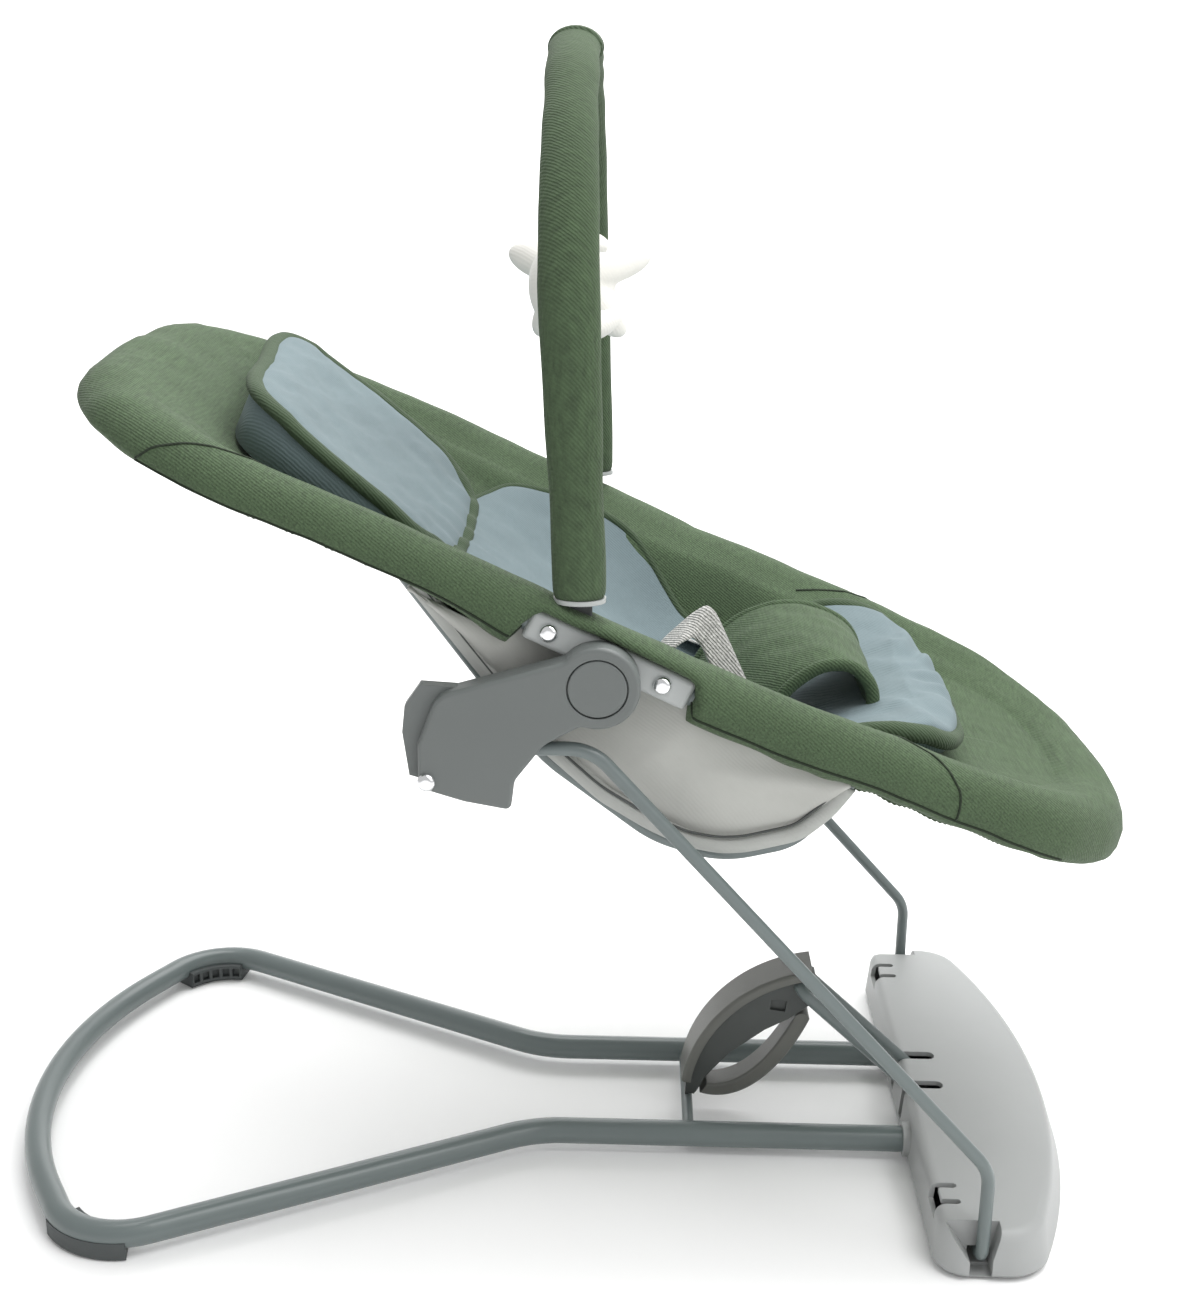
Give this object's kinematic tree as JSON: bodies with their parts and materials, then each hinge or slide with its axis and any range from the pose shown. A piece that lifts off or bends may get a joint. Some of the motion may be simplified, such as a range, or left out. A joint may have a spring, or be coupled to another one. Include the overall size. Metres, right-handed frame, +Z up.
{
  "type": "baby bouncer seat",
  "caption": "Folding baby bouncer: floor loop, spring wire legs, reclining padded seat in side brackets, padded toy bar with hanging toys.",
  "frame": {"origin": "on the floor, under the middle of the whole object", "axes": "+X towards the foot end, +Y to the baby's left, +Z up"},
  "size_m": [0.8474, 0.4384, 0.8457],
  "materials": {
    "frame_steel": "satin grey-green powder coat",
    "housing_plastic": "fine satin grey moulding",
    "bracket_plastic": "fine matt mid-grey moulding",
    "saddle_plastic": "satin light grey moulding",
    "strut_plastic": "matt warm grey moulding",
    "strut_dark": "matt dark grey moulding",
    "foot_rubber": "matt dark grey rubber",
    "chrome_rivet": "polished",
    "zinc_steel": "zinc plated",
    "green_fabric": "woven melange sage green",
    "blue_grey_fabric": "soft woven blue-grey",
    "light_grey_fabric": "smooth light grey",
    "webbing": "light grey webbing",
    "bar_black": "black moulding",
    "cuff_plastic": "pale grey moulding",
    "toy_white": "soft white"
  },
  "bodies": {
    "base": {"base_tube": "frame_steel", "crossbar": "frame_steel", "rear_foot_right": "foot_rubber", "rear_foot_left": "foot_rubber", "housing_top": "housing_plastic", "housing_pan": "housing_plastic", "housing_screws": "zinc_steel", "front_pads": "foot_rubber"},
    "legs": {"spring_wire": "frame_steel"},
    "strut": {"strut_core": "strut_dark", "strut_shell": "strut_plastic"},
    "release": {"release_strap": "strut_plastic"},
    "carrier": {"bracket_cover_right": "bracket_plastic", "bracket_cover_left": "bracket_plastic", "bracket_base_right": "bracket_plastic", "bracket_base_left": "bracket_plastic", "bracket_rivet_right": "chrome_rivet", "bracket_rivet_left": "chrome_rivet", "hub_bolt_right": "zinc_steel", "hub_bolt_left": "zinc_steel", "hub_nut_right": "zinc_steel", "hub_nut_left": "zinc_steel", "button_spring_right": "zinc_steel", "button_spring_left": "zinc_steel"},
    "button_right": {"recline_button_right": "bracket_plastic"},
    "button_left": {"recline_button_left": "bracket_plastic"},
    "seat": {"head_hoop": "frame_steel", "foot_hoop": "frame_steel", "saddle_right": "saddle_plastic", "saddle_left": "saddle_plastic", "saddle_rivets_right": "chrome_rivet", "saddle_rivets_left": "chrome_rivet", "seat_brace_right": "frame_steel", "seat_brace_left": "frame_steel", "rim_cover": "green_fabric", "bucket_panel": "light_grey_fabric", "seat_sling": "green_fabric", "head_pillow": "blue_grey_fabric", "body_insert": "blue_grey_fabric", "crotch_band": "green_fabric", "waist_strap_right": "webbing", "waist_strap_left": "webbing", "buckle": "bracket_plastic"},
    "toy_bar": {"bar_post_right": "bar_black", "bar_post_left": "bar_black", "bar_cuff_right": "cuff_plastic", "bar_cuff_left": "cuff_plastic", "bar_core": "bar_black", "bar_sleeve": "green_fabric"},
    "star": {"star": "toy_white", "star_ribbon": "webbing"},
    "moon": {"moon": "toy_white", "moon_ribbon": "webbing"}
  },
  "joints": [
    {"name": "fold", "type": "hinge", "parent": "base", "child": "legs", "pos_m": [0.316, 0, 0.014], "axis": [0, -1, 0], "range_deg": [0, 34]},
    {"name": "strut_lift", "type": "hinge", "parent": "legs", "child": "strut", "pos_m": [0.2, 0, 0.122], "axis": [0, -1, 0], "range_deg": [-123, 0]},
    {"name": "strap_release", "type": "hinge", "parent": "strut", "child": "release", "pos_m": [0.20318, 0, 0.08968], "axis": [0, -1, 0], "range_deg": [0, 7], "stiffness_Nm_per_rad": 1.5, "springref_deg": -2.86},
    {"name": "bounce", "type": "hinge", "parent": "legs", "child": "carrier", "pos_m": [-0.0695, 0, 0.3763], "axis": [0, -1, 0], "range_deg": [-2.5, 2.5], "stiffness_Nm_per_rad": 400},
    {"name": "button_right_press", "type": "slide", "parent": "carrier", "child": "button_right", "axis": [0, 1, 0], "range_m": [0, 0.004], "stiffness_N_per_m": 900, "springref_m": -0.001, "deforming": ["button_spring_right"]},
    {"name": "button_left_press", "type": "slide", "parent": "carrier", "child": "button_left", "axis": [0, -1, 0], "range_m": [0, 0.004], "stiffness_N_per_m": 900, "springref_m": -0.001, "deforming": ["button_spring_left"]},
    {"name": "recline", "type": "hinge", "parent": "carrier", "child": "seat", "pos_m": [0.0404, 0, 0.4413], "axis": [0, -1, 0], "range_deg": [0, 12.5]},
    {"name": "bar_lift", "type": "slide", "parent": "seat", "child": "toy_bar", "axis": [0, 0, 1], "range_m": [0, 0.035]},
    {"name": "star_swing", "type": "hinge", "parent": "toy_bar", "child": "star", "pos_m": [0.028, 0.026, 0.82848], "axis": [0, 1, 0], "range_deg": [-25, 25]},
    {"name": "moon_swing", "type": "hinge", "parent": "toy_bar", "child": "moon", "pos_m": [0.028, -0.034, 0.82717], "axis": [0, 1, 0], "range_deg": [-25, 25]}
  ],
  "couplings": [
    {"joint": "strut_lift", "follows": "fold", "ratio": -3.6}
  ]
}
